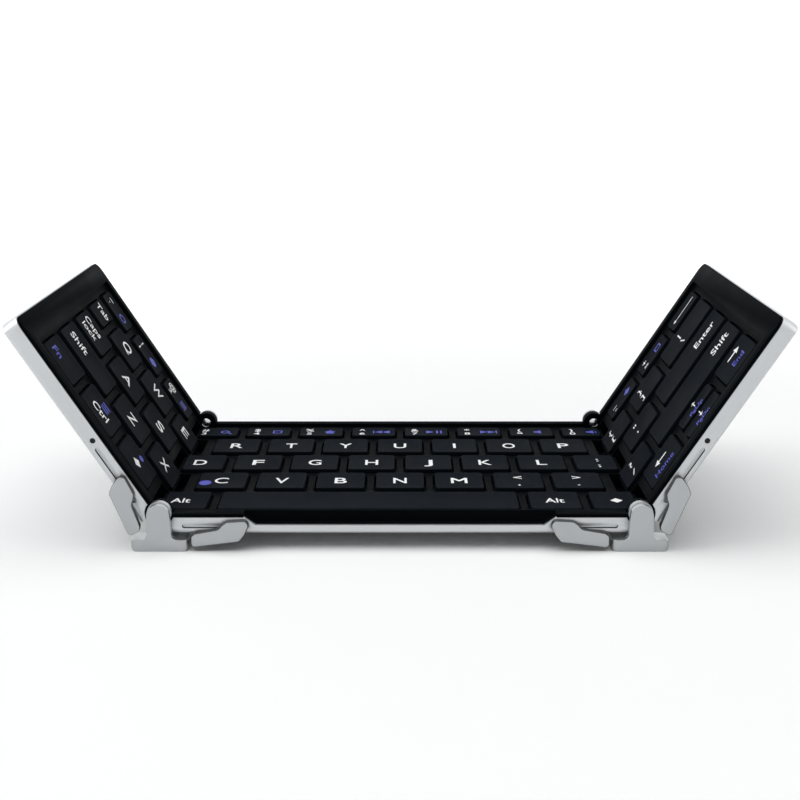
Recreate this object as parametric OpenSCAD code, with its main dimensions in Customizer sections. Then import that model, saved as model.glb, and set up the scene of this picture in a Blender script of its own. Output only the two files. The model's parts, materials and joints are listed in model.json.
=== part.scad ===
// Pocket keyboard that folds in three: a centre panel and two wings. Each wing
// turns about a fold axis on two T-shaped metal feet, and flat links tie the
// feet to slots in the trays' front and rear walls.
// Rest position: centre panel level on its feet, wings raised to wing_tilt.
// Origin: on the ground under the middle of the centre panel. X runs along the
// keyboard, Y away from the typist, Z up.

/* [Keys] */
// Distance from one key to the next along a row
key_pitch = 16.8; // [16.4:0.1:17.4]
// Gap between neighbouring keys in a row
key_gap = 3.2; // [2.8:0.1:3.6]
// Front-to-back depth of a letter key
key_depth = 13.5; // [12.6:0.1:14.2]
// Front-to-back gap between two rows of letter keys
row_gap = 2.9; // [2.6:0.1:3.4]
// Front-to-back depth of the shallow number keys
number_depth = 8.8; // [8:0.1:10]
// Gap between the number row and the letter row in front of it
number_gap = 3.5; // [3:0.1:4]
// Width of the narrow key at each end of the centre panel's rows
edge_key_w = 11.8; // [11:0.1:12.4]
// Width of the outermost key in a wing's straight rows
outer_key_w = 13; // [12:0.1:16]
// Width of the E key beside the left fold
left_e_w = 10.2; // [9.6:0.1:10.6]
// Width of the Q key
left_q_w = 12.4; // [11.6:0.1:13.4]
// Height of a key cap
key_h = 2.2; // [1.9:0.1:2.4]
// Thickness of a key cap's top
key_top_t = 0.9; // [0.7:0.1:1.1]
// Thickness of a key cap's side walls
key_wall = 0.9; // [0.7:0.1:1.2]
// Corner radius of a key cap
key_corner_r = 1.2; // [0.8:0.1:1.6]
// Step at the top edge of a key cap, inwards and downwards
key_edge = 0.3; // [0.2:0.05:0.4]
// Depth of the hollow that the fingertip feels across a key's top
key_dish = 0.15; // [0.05:0.05:0.2]
// Radius of the stem under a key cap
stem_r = 1.5; // [1.2:0.1:2]
// How far a key travels when it is pressed
key_travel = 1.1; // [0.9:0.1:1.15]
// Running gap between a key and its opening in the frame
key_clear = 0.6; // [0.4:0.05:0.65]
// Gap between the up and down half keys
half_key_gap = 2; // [1.2:0.1:2.4]

/* [Panels] */
// Thickness of a panel from the frame's top to the tray's underside
panel_t = 5.45; // [5.4:0.05:6]
// Tray margin in front of the front row of keys
front_margin = 5; // [4.6:0.1:6]
// Tray margin behind the number row
rear_margin = 7.05; // [6.5:0.05:8]
// Distance from a fold axis to the nearest key of a wing's straight rows
wing_margin = 6; // [5.6:0.1:6.6]
// Width of the smooth bezel at a wing's outer end
bezel_w = 9.75; // [9.2:0.05:12]
// How far the centre panel's end keys reach past the fold axes
key_overhang = 0.5; // [0.2:0.1:0.8]
// Corner radius at a wing's outer corners
corner_r = 3.5; // [2.5:0.25:4]
// Radius along the trays' bottom edges
bottom_r = 1.2; // [0.6:0.1:1.6]
// Thickness of the trays' walls
tray_wall = 1.2; // [1.1:0.05:1.4]
// Thickness of the trays' floors
tray_floor = 0.8; // [0.7:0.05:0.9]
// Height of the frame's rim above the tray's edge
rim_t = 0.9; // [0.7:0.1:1.1]
// How far the frame's rim stands back from the tray's outer face
rim_setback = 0.35; // [0.2:0.05:0.6]
// Depth of the key field below the frame's rim
well_depth = 1.2; // [0.9:0.1:1.3]
// How far the key tops lie below the frame's rim
key_recess = 0.15; // [0.05:0.05:0.3]
// Thickness of the steel plate on each tray's floor
plate_t = 0.4; // [0.3:0.05:0.45]
// Thickness of the switch sheet on the steel plate
sheet_t = 0.3; // [0.2:0.05:0.35]
// Height of a contact pad on the switch sheet
pad_h = 0.25; // [0.1:0.05:0.3]
// Length of the finger recess in the centre panel's front edge
recess_len = 76; // [60:1:84]
// Run of the sloping ends of the finger recess
recess_slope = 3.2; // [2:0.1:5]
// Depth of the finger recess below the tray's edge
recess_drop = 2.2; // [1.6:0.1:2.3]

/* [Folds] */
// Height of the fold axes above the ground
axis_h = 9.95; // [9.9:0.05:10.6]
// How far the frame's top lies below the fold axes
axis_drop = 0.3; // [0.3:0.05:0.5]
// Angle of the wings above level at rest
wing_tilt = 58; // [50:1:64]
// Gap between the centre panel and a wing along the fold
fold_gap = 0.8; // [0.6:0.1:1.2]
// How far the rows' tongues reach past the fold axis
tongue_reach = 2.3; // [2.1:0.1:2.4]
// Radius of the tongues' rounded undersides about the fold axis
tongue_r = 5.25; // [5.1:0.05:5.4]
// Distance from a fold axis to the straight edge of a silver tray
tray_back = 3.6; // [3.5:0.1:4]
// Radius of the feet's hubs
hub_r = 3; // [2.8:0.1:3.05]
// Radius of the black knuckles on the frames
knuckle_r = 3.2; // [3:0.05:3.3]
// Length of each knuckle along the fold axis
knuckle_len = 1.5; // [1.3:0.05:1.6]
// Gap beside a knuckle along the fold axis
knuckle_gap = 0.1; // [0.06:0.02:0.14]
// Gap between a knuckle's rim and the panel that turns round it
knuckle_clear = 0.3; // [0.2:0.05:0.4]
// Radius of the hinge pins
pin_r = 1.1; // [0.9:0.05:1.3]
// Running gap between a hinge pin and a knuckle
pin_clear = 0.05; // [0.03:0.01:0.08]
// Radius of a hinge pin's domed head
pin_head_r = 1.55; // [1.45:0.05:1.9]
// Height of a hinge pin's domed head
pin_head_h = 0.6; // [0.4:0.05:0.7]

/* [Feet and links] */
// Thickness of the feet's front plates and of the links
plate_depth = 1.8; // [1.5:0.1:2.2]
// Gap between a panel's face and the plates that move past it
plate_clear = 0.1; // [0.08:0.02:0.2]
// Half the width of a foot's base
foot_half_w = 7.6; // [7.2:0.1:7.6]
// Height of a foot's base
foot_base_h = 3.1; // [2.8:0.1:3.1]
// Depth of a foot's base along Y
foot_depth = 6; // [5:0.1:7]
// Half the width of a foot's tongue where it meets the base
foot_neck = 3.35; // [3.3:0.05:3.6]
// Fillet between a foot's tongue and its base
foot_fillet = 1.6; // [1:0.1:1.8]
// Corner radius of a foot's base
foot_corner_r = 1.3; // [0.8:0.1:1.4]
// Distance of the slots' middle line below the fold axes
slot_drop = 3.5; // [3.4:0.05:3.55]
// Width of the slots in the trays' walls
slot_w = 1.2; // [1.1:0.05:1.3]
// Depth of the slots
slot_depth = 0.8; // [0.6:0.05:0.85]
// Distance from the fold axis to a slot's near end
slot_near = 5.9; // [5.6:0.1:6.1]
// Length of a slot from end to end
slot_len = 17.5; // [17:0.1:19]
// Radius of the pin that runs in a slot
slot_pin_r = 0.5; // [0.4:0.02:0.55]
// Distance from the fold axis to a link's pin with the panels flat
link_out = 21.4; // [21.2:0.1:21.8]
// Distance that a link's pin slides for each degree of fold
link_rate = 0.163; // [0.16:0.001:0.164]
// Small turn of the wing's links against the centre panel's links
wing_link_turn = 3.5; // [2:0.5:4]
// Distance from the end of a wing's slot to the small screw beyond it
screw_gap = 2.1; // [1.5:0.1:5]
// Radius of that screw's head
screw_r = 0.75; // [0.5:0.05:0.9]

/* [Inside] */
// Gap between the battery or circuit board and the pocket that holds it
pocket_clear = 0.2; // [0.1:0.05:0.4]
// Length of the battery
battery_len = 62; // [40:1:70]
// Thickness of the battery
battery_t = 2.8; // [2:0.1:2.9]
// Length of the circuit board under the right wing's bezel
board_len = 64; // [50:1:74]
// Thickness of the circuit board
board_t = 0.8; // [0.6:0.1:0.8]
// Width of the charging socket
socket_w = 7.4; // [5:0.1:7.4]
// Height of the charging socket
socket_h = 2.4; // [2:0.1:2.5]
// Depth of the charging socket
socket_depth = 5.5; // [5:0.1:6]

/* [Hidden] */

LEFT = -1;
RIGHT = 1;
FRONT = -1;
REAR = 1;
EXTRA = 1;            // how far a cutter runs past the face that it cuts
SEAM = 0.1;           // gap between a tray and the frame that lies in it
FUSE = 0.2;           // overlap of shapes that are fused
pin_seat = 0.02;      // gap between a hinge pin and the foot that holds it
pin_cover = 1;        // metal left over the end of a hinge pin's bore
ROUND = 48;           // facets of a full circle
BIG_ROUND = 360;      // facets of the wide circles that dish the keys

SILVER = [0.72, 0.73, 0.74];
STEEL = [0.6, 0.62, 0.64];
BLACK = [0.05, 0.05, 0.06];
KEY_BLACK = [0.15, 0.16, 0.18];

// --- sizes along Y ---------------------------------------------------------
row_pitch = key_depth + row_gap;
panel_depth = front_margin + key_depth + 3 * row_pitch + number_gap
    + number_depth + rear_margin;
face_y = panel_depth / 2;
bottom_row_y = -face_y + front_margin + key_depth / 2;
number_y = bottom_row_y + 3 * row_pitch + key_depth / 2 + number_gap + number_depth / 2;

// Row 0 is the number row, row 4 the space bar's row.
function row_y(row) = row == 0 ? number_y : bottom_row_y + (4 - row) * row_pitch;
function row_depth(row) = row == 0 ? number_depth : key_depth;
function row_split_y(row) =
    (row_y(row) - row_depth(row) / 2 + row_y(row + 1) + row_depth(row + 1) / 2) / 2;

plate_back = face_y + plate_clear;        // where feet and links begin
plate_face = plate_back + plate_depth;    // their outer faces
pin_end_y = plate_face - pin_cover;
centre_knuckle_y = face_y;
wing_knuckle_y = centre_knuckle_y - knuckle_len - knuckle_gap;
pin_head_y = wing_knuckle_y - knuckle_len;
end_zone_y = pin_head_y - pin_head_h - knuckle_clear;
foot_inner_y = plate_face - foot_depth;
cheek_t = 0.95;       // thickness of the wings' cheeks in front of the rear hinges
tongue_gap = 0.15;    // half the gap between neighbouring tongues along Y
cheek_y = end_zone_y - cheek_t - 2 * tongue_gap;

// --- levels, measured up from the fold axes --------------------------------
z_deck = -axis_drop;
z_rim = z_deck - rim_t;
z_field = z_deck - well_depth;
z_key = z_deck - key_recess;
z_bottom = z_deck - panel_t;
z_floor = z_bottom + tray_floor;
z_plate = z_floor + plate_t;
z_sheet = z_plate + sheet_t;
z_recess = z_rim - recess_drop;
z_foot_top = -axis_h + foot_base_h;

// --- sizes along X ---------------------------------------------------------
key_w = key_pitch - key_gap;
half_keys = 3 * key_pitch + key_gap / 2 + edge_key_w;
fold_x = half_keys - key_overhang;
wing_key_end = wing_margin + 2 * key_pitch + outer_key_w;
wing_len = wing_key_end + bezel_w;
bezel_step = wing_key_end + 2.8;          // where the bezel steps down to the keys
field_front = 0.9;    // frame surface in front of the front keys at the field's level
field_rear = 4;       // the same behind the number keys
stagger_start = wing_margin + key_w / 2 - key_gap / 2 - edge_key_w;
left_e_start = stagger_start + 0.2;

// Rows of keys: where the row starts and how wide each key is. A width of 0
// fills the row up to the wing's bezel.
long_row = [-half_keys, [edge_key_w, for (i = [1:6]) key_w, edge_key_w]];
short_row = [-3.5 * key_pitch + key_gap / 2, [for (i = [1:7]) key_w]];
centre_rows = [
    long_row,
    short_row,
    long_row,
    short_row,
    [-half_keys, [edge_key_w, 5 * key_pitch - key_gap, key_w, edge_key_w]]
];
straight_row = [wing_margin, [key_w, key_w, 0]];
staggered_row = [stagger_start, [edge_key_w, key_w, 0]];
left_rows = [
    straight_row,
    [left_e_start, [left_e_w, key_w, left_q_w, 0]],
    straight_row,
    staggered_row,
    straight_row
];
right_rows = [
    straight_row,
    staggered_row,
    [wing_margin, [key_w, 0]],
    [stagger_start, [edge_key_w, 0]],
    straight_row
];
half_key_depth = (key_depth - half_key_gap) / 2;

function sum(list, count) = count <= 0 ? 0 : list[count - 1] + sum(list, count - 1);
function key_start(row, i) = row[0] + sum(row[1], i) + i * key_gap;
function key_width(row, i) =
    row[1][i] > 0 ? row[1][i] : wing_key_end - key_start(row, i);
function key_mid(row, i) = key_start(row, i) + key_width(row, i) / 2;
function last_key(row) = len(row[1]) - 1;

// --- zigzag edge along a fold ----------------------------------------------
// The centre panel's tongues carry rows 0, 2 and 4 and the wing's rows 1 and 3.
zone_side = [0, 1, -1, 1, -1, 1, 0];
zone_y = [
    cheek_y, row_split_y(0), row_split_y(1), row_split_y(2), row_split_y(3),
    -end_zone_y
];
shelf_end = 0.2;      // distance from the fold axis to the end of a shelf
pocket_inset = 1.6;   // wall between a fold edge and the pocket for plate and sheet
shelf_r = tongue_r + 0.1;
recess_x = tongue_reach + fold_gap / 2;
tongue_x = tongue_reach - fold_gap / 2;

// Points of the fold edge from rear to front. panel is 1 for the centre panel
// and -1 for a wing, x runs from inside the panel towards the fold and is 0 on
// the axis, and inset moves the whole edge inwards.
function fold_edge(panel, inset) = concat(
    [[-fold_gap / 2 - inset, face_y + EXTRA]],
    [for (i = [0:len(zone_y) - 1]) for (next = [0, 1]) [
        panel * zone_side[i + next] * tongue_reach - fold_gap / 2 - inset,
        zone_y[i] + (tongue_gap + inset)
            * sign(panel * (zone_side[i] - zone_side[i + 1]))
    ]],
    [[-fold_gap / 2 - inset, -face_y - EXTRA]]
);
function reversed(list) = [for (i = [len(list) - 1:-1:0]) list[i]];

// --- links -----------------------------------------------------------------
// Outline of a link about its slot pin: x away from the fold, y down.
link_points = [
    [-13.05, 5.35], [-0.4, 3.8], [1.1, 1.9], [2.35, -0.9], [1.4, -2.1],
    [-3.6, -1.8], [-4.9, -0.8], [-5.7, 0.3], [-12, 1.45], [-13.05, 2.3]
];
link_radii = [0.9, 1.2, 1.5, 1.2, 0.9, 1.2, 1.5, 2, 0.7, 0.7];

function unit(v) = v / norm(v);

// Arc that rounds the corner b between a and c.
function corner_arc(a, b, c, r, steps) =
    let (
        u = unit(a - b),
        v = unit(c - b),
        half = acos(max(-1, min(1, u * v))) / 2,
        centre = b + unit(u + v) * r / sin(half),
        from = b + u * r / tan(half) - centre,
        to = b + v * r / tan(half) - centre,
        start = atan2(from[1], from[0]),
        turn = (atan2(to[1], to[0]) - start + 540) % 360 - 180
    )
    [for (i = [0:steps])
        centre + r * [cos(start + turn * i / steps), sin(start + turn * i / steps)]];

function rounded_points(points, radii, steps = 4) =
    let (n = len(points))
    [for (i = [0:n - 1])
        each corner_arc(points[(i + n - 1) % n], points[i], points[(i + 1) % n],
            radii[i], steps)];

// --- general shapes --------------------------------------------------------
module rounded_rect(w, d, r) {
    square([w - 2 * r, d], center = true);
    square([w, d - 2 * r], center = true);
    for (x = [-1, 1], y = [-1, 1])
        translate([x * (w / 2 - r), y * (d / 2 - r)]) circle(r, $fn = ROUND);
}

module slab(low, high) {
    translate([0, 0, low]) linear_extrude(high - low) children();
}

// A round bar along Y about the fold axis between two distances from the middle.
module bar_y(r, from, to) {
    translate([0, to, 0]) rotate([90, 0, 0]) cylinder(r = r, h = to - from, $fn = ROUND);
}

module at_centre() {
    translate([0, 0, axis_h]) children();
}

// The fold axis of one side, with X pointing from it into the centre panel.
module at_fold(side) {
    mirror([side == RIGHT ? 1 : 0, 0, 0]) translate([-fold_x, 0, axis_h]) children();
}

// A wing lying flat with X running out from its fold axis, tilted to rest.
module at_wing(side) {
    mirror([side == LEFT ? 1 : 0, 0, 0]) translate([fold_x, 0, axis_h])
        rotate([0, -wing_tilt, 0]) children();
}

module at_ends() {
    for (end = [FRONT, REAR]) mirror([0, end == FRONT ? 1 : 0, 0]) children();
}

// --- panel outlines --------------------------------------------------------
module centre_outline(inset, wall) {
    edge = fold_edge(1, inset);
    intersection() {
        polygon(concat(
            [for (p = edge) [fold_x + p[0], p[1]]],
            [for (p = reversed(edge)) [-fold_x - p[0], p[1]]]
        ));
        square([4 * fold_x, 2 * (face_y - wall)], center = true);
    }
}

module wing_outline(inset, wall) {
    intersection() {
        polygon(concat(
            [for (p = fold_edge(-1, inset)) [-p[0], p[1]]],
            [[wing_len + EXTRA, -face_y - EXTRA], [wing_len + EXTRA, face_y + EXTRA]]
        ));
        rounded_rect(2 * (wing_len - wall), 2 * (face_y - wall), corner_r - wall);
    }
}

module panel_outline(wing, inset, wall) {
    if (wing) wing_outline(inset, wall);
    else centre_outline(inset, wall);
}

// Round room about a fold axis, wider than a knuckle by clear, for knuckles and
// pin heads.
module fold_room(clear, from, to) {
    bar_y(knuckle_r + clear, from, to);
}

module at_own_folds(wing) {
    if (wing) children();
    else for (side = [0, 1]) mirror([side, 0, 0]) translate([-fold_x, 0, 0]) children();
}

// --- trays -----------------------------------------------------------------
// Cross-section of a tray along X: flat bottom with rounded lower corners.
module tray_section(half_w) {
    translate([0, (z_rim + z_bottom) / 2]) {
        translate([0, bottom_r / 2])
            square([2 * half_w, z_rim - z_bottom - bottom_r], center = true);
        square([2 * (half_w - bottom_r), z_rim - z_bottom], center = true);
    }
    for (x = [-1, 1])
        translate([x * (half_w - bottom_r), z_bottom + bottom_r])
            circle(bottom_r, $fn = ROUND);
}

module slot_cut() {
    slot_x = [slot_near + slot_w / 2, slot_near + slot_len - slot_w / 2];
    translate([0, face_y + EXTRA, -slot_drop]) rotate([90, 0, 0])
        linear_extrude(slot_depth + EXTRA) {
            for (x = slot_x) translate([x, 0]) circle(slot_w / 2, $fn = ROUND);
            translate([slot_x[0], -slot_w / 2]) square([slot_x[1] - slot_x[0], slot_w]);
        }
}

// Box over the strip along each fold where the frame stands in for the tray. less
// draws its edges in.
module fold_strip(wing, less = 0) {
    at_own_folds(wing) translate([-fold_x, -end_zone_y + less, z_bottom - EXTRA])
        cube([fold_x + tray_back - less, 2 * (end_zone_y - less), panel_t + 2 * EXTRA]);
}

module tray(wing) {
    lip = 0.7;
    difference() {
        intersection() {
            slab(z_bottom, z_rim) panel_outline(wing, 0, 0);
            rotate([90, 0, 90]) translate([0, 0, -2 * fold_x]) linear_extrude(4 * fold_x)
                tray_section(face_y);
            if (wing) rotate([90, 0, 0]) translate([0, 0, -2 * face_y])
                linear_extrude(4 * face_y) tray_section(wing_len);
        }
        slab(z_floor, z_sheet) panel_outline(wing, lip, tray_wall);
        slab(z_sheet, z_rim + EXTRA) panel_outline(wing, -EXTRA, tray_wall);
        fold_strip(wing);
        at_own_folds(wing) at_ends() {
            fold_room(2 * knuckle_clear, end_zone_y, face_y + EXTRA);
            slot_cut();
        }
        if (wing) at_ends() screw_seat();
        children();
    }
}

screw_rise = 0.4;     // height of the small screws above the slots' middle line

// Blind round seat for the small screw beyond a wing's slot.
module screw_seat() {
    at_screw() cylinder(r = screw_r, h = slot_depth + EXTRA, $fn = ROUND);
}

module at_screw() {
    translate([slot_near + slot_len + screw_gap, face_y - slot_depth,
        screw_rise - slot_drop])
        rotate([-90, 0, 0]) children();
}

module recess_profile(top) {
    half = recess_len / 2;
    polygon([
        [-half, z_recess], [half, z_recess],
        [half + recess_slope, z_rim], [half + recess_slope, top],
        [-half - recess_slope, top], [-half - recess_slope, z_rim]
    ]);
}

module centre_tray() {
    color(SILVER) at_centre() tray(false)
        translate([0, -face_y + tray_wall + EXTRA, 0]) rotate([90, 0, 0])
            linear_extrude(tray_wall + 2 * EXTRA) recess_profile(z_rim + EXTRA);
}

module left_tray() {
    color(SILVER) at_wing(LEFT) tray(true);
}

module right_tray() {
    color(SILVER) at_wing(RIGHT) tray(true) socket_cut();
}

// --- frames that hold the keys ---------------------------------------------
// Puts its children at every key. With split, the middle key of the front row is
// two half keys, one behind the other.
module at_keys(rows, split) {
    for (r = [0:4], i = [0:last_key(rows[r])]) {
        halves = split && r == 4 && i == 1;
        depth = halves ? half_key_depth : row_depth(r);
        offset = halves ? (depth + half_key_gap) / 2 : 0;
        for (y = halves ? [-offset, offset] : [0])
            translate([key_mid(rows[r], i), row_y(r) + y])
                key_spot(key_width(rows[r], i), depth) children();
    }
}

// Passes a key's width and depth on to the shape drawn there.
module key_spot($key_w, $key_d) {
    children();
}

module key_openings(rows, split) {
    at_keys(rows, split) rounded_rect($key_w + 2 * key_clear, $key_d + 2 * key_clear,
        key_corner_r + key_clear);
}

module deck_body(wing) {
    slab(z_rim, z_deck) panel_outline(wing, 0, rim_setback);
    slab(z_sheet, z_rim) panel_outline(wing, 0, tray_wall + SEAM);
}

// Slot in the centre panel that a wing's cheek turns in.
module cheek_slot(more) {
    at_own_folds(false) translate([-fold_x, cheek_y - more, z_bottom - EXTRA])
        cube([fold_x + recess_x + more, end_zone_y - cheek_y + 2 * more, panel_t + 2 * EXTRA]);
}

// What lies past the fold axis and further from it than a tongue's underside.
module past_tongue(wing) {
    at_own_folds(wing) difference() {
        translate([-fold_x, -face_y, z_bottom - EXTRA])
            cube([fold_x, 2 * face_y, panel_t + EXTRA]);
        bar_y(tongue_r, -face_y - EXTRA, face_y + EXTRA);
    }
}

// Lower part of a frame along its fold: tongues that stand in for the tray there,
// with a pocket for the plate and the sheet.
module fold_block(wing) {
    difference() {
        intersection() {
            slab(z_bottom, z_sheet + FUSE) panel_outline(wing, 0, 0);
            fold_strip(wing, SEAM);
        }
        difference() {
            slab(z_floor, z_sheet) panel_outline(wing, pocket_inset, tray_wall);
            if (!wing) cheek_slot(pocket_inset);
        }
    }
}

// Thin shelves that close the panel's recesses below the neighbour's tongues.
module fold_shelves(wing) {
    panel = wing ? -1 : 1;
    reach = tongue_gap + FUSE;
    at_own_folds(wing) difference() {
        for (i = [0:len(zone_y) - 2]) if (panel * zone_side[i + 1] < 0) {
            front = max(zone_y[i + 1] - reach, -end_zone_y + SEAM);
            translate([shelf_end, front, z_bottom])
                cube([recess_x + FUSE - shelf_end, zone_y[i] + reach - front, panel_t / 2]);
        }
        bar_y(shelf_r, -face_y, face_y);
    }
}

// Upright plate of a wing that fills the fold in front of the rear hinge.
module hinge_cheek() {
    translate([-tongue_x, cheek_y + tongue_gap, z_bottom])
        cube([tongue_x + recess_x, cheek_t, z_field - z_bottom]);
}

// The sunken key field: open at the folds, closed by the rim at front and rear.
module key_field(wing) {
    front = row_y(4) - key_depth / 2 - field_front;
    rear = row_y(0) + number_depth / 2 + field_rear;
    translate([wing ? -fold_x : -2 * fold_x, front, z_field])
        cube([wing ? fold_x + bezel_step : 4 * fold_x, rear - front, well_depth + EXTRA]);
}

module deck(wing, rows, split = false) {
    outer_y = wing ? wing_knuckle_y : centre_knuckle_y;
    inner_y = outer_y - knuckle_len;
    difference() {
        union() {
            difference() {
                union() {
                    deck_body(wing);
                    fold_block(wing);
                }
                key_field(wing);
                at_own_folds(wing) at_ends() {
                    fold_room(knuckle_clear, end_zone_y, inner_y - knuckle_gap / 2);
                    fold_room(knuckle_clear, outer_y + knuckle_gap / 2, face_y + EXTRA);
                }
            }
            if (wing) hinge_cheek();
            at_own_folds(wing) at_ends() bar_y(knuckle_r, inner_y, outer_y);
        }
        past_tongue(wing);
        if (!wing) cheek_slot(tongue_gap);
        slab(z_plate, z_deck + EXTRA) key_openings(rows, split);
        at_own_folds(wing) at_ends() bar_y(pin_r + pin_clear,
            inner_y - knuckle_gap / 2, outer_y + knuckle_gap / 2);
        children();
    }
    fold_shelves(wing);
}

// Scoop for a fingertip in the centre frame's front rim.
module finger_scoop() {
    depth = front_margin - key_clear - field_front;
    translate([0, -face_y + depth, 0]) rotate([90, 0, 0]) linear_extrude(depth + EXTRA)
        recess_profile(z_deck + EXTRA);
}

// Pocket under a wing's bezel for the battery or the circuit board.
module bezel_pocket() {
    translate([pocket_start, -pocket_half_len, z_sheet - EXTRA])
        cube([pocket_w, 2 * pocket_half_len, z_rim - z_sheet + EXTRA - pocket_roof]);
}

module centre_deck() {
    color(BLACK) at_centre() deck(false, centre_rows) finger_scoop();
}

module left_deck() {
    color(BLACK) at_wing(LEFT) deck(true, left_rows) bezel_pocket();
}

module right_deck() {
    color(BLACK) at_wing(RIGHT) deck(true, right_rows, true) {
        bezel_pocket();
        socket_cut();
    }
}

// --- sheets under the keys --------------------------------------------------
module under_keys(wing, low, high) {
    difference() {
        slab(low, high) intersection() {
            panel_outline(wing, pocket_inset + 3 * SEAM, tray_wall + 2 * SEAM);
            translate([wing ? -fold_x : -2 * fold_x, -face_y])
                square([wing ? fold_x + wing_key_end + key_clear : 4 * fold_x, 2 * face_y]);
        }
        if (!wing) cheek_slot(pocket_inset + 3 * SEAM);
    }
}

pad_rim = 0.6;        // how far a contact pad reaches past the stem above it

module support_plate(wing) {
    under_keys(wing, z_floor, z_plate);
}

module switch_sheet(wing, rows, split = false) {
    under_keys(wing, z_plate, z_sheet);
    slab(z_sheet - sheet_t / 2, z_sheet + pad_h) at_keys(rows, split)
        circle(stem_r + pad_rim, $fn = ROUND);
}

module centre_support_plate() {
    color(STEEL) at_centre() support_plate(false);
}

module left_support_plate() {
    color(STEEL) at_wing(LEFT) support_plate(true);
}

module right_support_plate() {
    color(STEEL) at_wing(RIGHT) support_plate(true);
}

module centre_switch_sheet() {
    color("darkgreen") at_centre() switch_sheet(false, centre_rows);
}

module left_switch_sheet() {
    color("darkgreen") at_wing(LEFT) switch_sheet(true, left_rows);
}

module right_switch_sheet() {
    color("darkgreen") at_wing(RIGHT) switch_sheet(true, right_rows, true);
}

// --- battery, circuit board and charging socket ------------------------------
pocket_rim = 0.9;     // frame left on either side of the pocket under a bezel
pocket_roof = 0.4;    // how far the pocket's top lies below the tray's edge
pocket_ends = 2.1;    // frame left at the pocket's front and rear end
pocket_start = wing_key_end + pocket_rim;
pocket_w = wing_len - tray_wall - pocket_rim - pocket_start;
pocket_mid = pocket_start + pocket_w / 2;
pocket_half_len = face_y - tray_wall - pocket_ends;
battery_w = pocket_w - 2 * pocket_clear;
socket_x = pocket_mid - 0.4;
socket_z = z_floor + board_t + socket_h / 2;

module battery() {
    color("lightsteelblue") at_wing(LEFT) translate([pocket_mid, 0, z_floor])
        slab(0, battery_t) rounded_rect(battery_w, battery_len, 1);
}

module circuit_board() {
    color("green") at_wing(RIGHT)
        translate([pocket_mid, pocket_half_len - pocket_clear - board_len / 2, z_floor])
            slab(0, board_t) square([battery_w, board_len], center = true);
}

module socket_cut() {
    translate([socket_x, face_y - socket_depth - 1, socket_z]) rotate([-90, 0, 0])
        linear_extrude(socket_depth + 1 + EXTRA)
            rounded_rect(socket_w + 0.2, socket_h + 0.2, 1);
}

module charging_socket() {
    color(SILVER) at_wing(RIGHT) translate([socket_x, face_y - 0.4, socket_z])
        rotate([90, 0, 0]) difference() {
            linear_extrude(socket_depth) rounded_rect(socket_w, socket_h, 0.9);
            translate([0, 0, -EXTRA]) linear_extrude(socket_depth - 1 + EXTRA)
                difference() {
                    rounded_rect(socket_w - 0.6, socket_h - 0.6, 0.6);
                    square([socket_w - 2.6, 0.7], center = true);
                }
        }
}

// --- feet and hinge pins ------------------------------------------------------
// Front view of a foot about the fold axis.
module foot_section() {
    foot_top = z_foot_top;
    neck = foot_neck;
    polygon(rounded_points(
        [
            [-hub_r, 0], [-neck, foot_top], [-foot_half_w, foot_top],
            [-foot_half_w, -axis_h], [foot_half_w, -axis_h], [foot_half_w, foot_top],
            [neck, foot_top], [hub_r, 0]
        ],
        [0.1, foot_fillet, 0.6, foot_corner_r, foot_corner_r, 0.6, foot_fillet, 0.1]
    ));
    circle(hub_r, $fn = ROUND);
}

module foot(side, end) {
    color(SILVER) at_fold(side) mirror([0, end == FRONT ? 1 : 0, 0]) difference() {
        intersection() {
            translate([0, plate_face, 0]) rotate([90, 0, 0])
                linear_extrude(foot_depth) foot_section();
            slab(-axis_h - EXTRA, hub_r + EXTRA)
                translate([0, plate_face - foot_depth / 2])
                    rounded_rect(2 * foot_half_w, foot_depth, 1.5);
            union() {
                translate([-foot_half_w, plate_back, -axis_h - EXTRA])
                    cube([2 * foot_half_w, plate_depth + EXTRA, 2 * axis_h]);
                translate([-foot_half_w, foot_inner_y - EXTRA, -axis_h - EXTRA])
                    cube([2 * foot_half_w, foot_depth, foot_base_h + EXTRA]);
            }
        }
        bar_y(pin_r + pin_seat, plate_back - EXTRA, pin_end_y);
    }
}

module left_front_foot() {
    foot(LEFT, FRONT);
}

module left_rear_foot() {
    foot(LEFT, REAR);
}

module right_front_foot() {
    foot(RIGHT, FRONT);
}

module right_rear_foot() {
    foot(RIGHT, REAR);
}

// Pin from the blind bore in the hub through both knuckles to its domed head.
module hinge_pins(side) {
    dome_r = (pin_head_r * pin_head_r + pin_head_h * pin_head_h) / (2 * pin_head_h);
    color(STEEL) at_fold(side) at_ends() {
        bar_y(pin_r, pin_head_y - FUSE, pin_end_y);
        intersection() {
            bar_y(pin_head_r, pin_head_y - pin_head_h, pin_head_y - knuckle_gap / 2);
            translate([0, pin_head_y - pin_head_h + dome_r, 0]) sphere(dome_r, $fn = ROUND);
        }
    }
}

module left_hinge_pins() {
    hinge_pins(LEFT);
}

module right_hinge_pins() {
    hinge_pins(RIGHT);
}

// --- links --------------------------------------------------------------------
// One link with its slot pin, x away from the fold.
module link(pin_x, turn) {
    translate([pin_x, 0, -slot_drop]) {
        translate([0, plate_face, 0]) rotate([90, 0, 0]) rotate([0, 0, turn])
            linear_extrude(plate_depth) mirror([0, 1])
                polygon(rounded_points(link_points, link_radii));
        bar_y(slot_pin_r, face_y - slot_depth + SEAM, plate_back + FUSE);
    }
}

module inner_link(side, end) {
    color(SILVER) at_fold(side) mirror([0, end == FRONT ? 1 : 0, 0]) link(link_out, 0);
}

module outer_link(side, end) {
    color(SILVER) at_wing(side) mirror([0, end == FRONT ? 1 : 0, 0])
        link(link_out - link_rate * wing_tilt, wing_link_turn);
}

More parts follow.
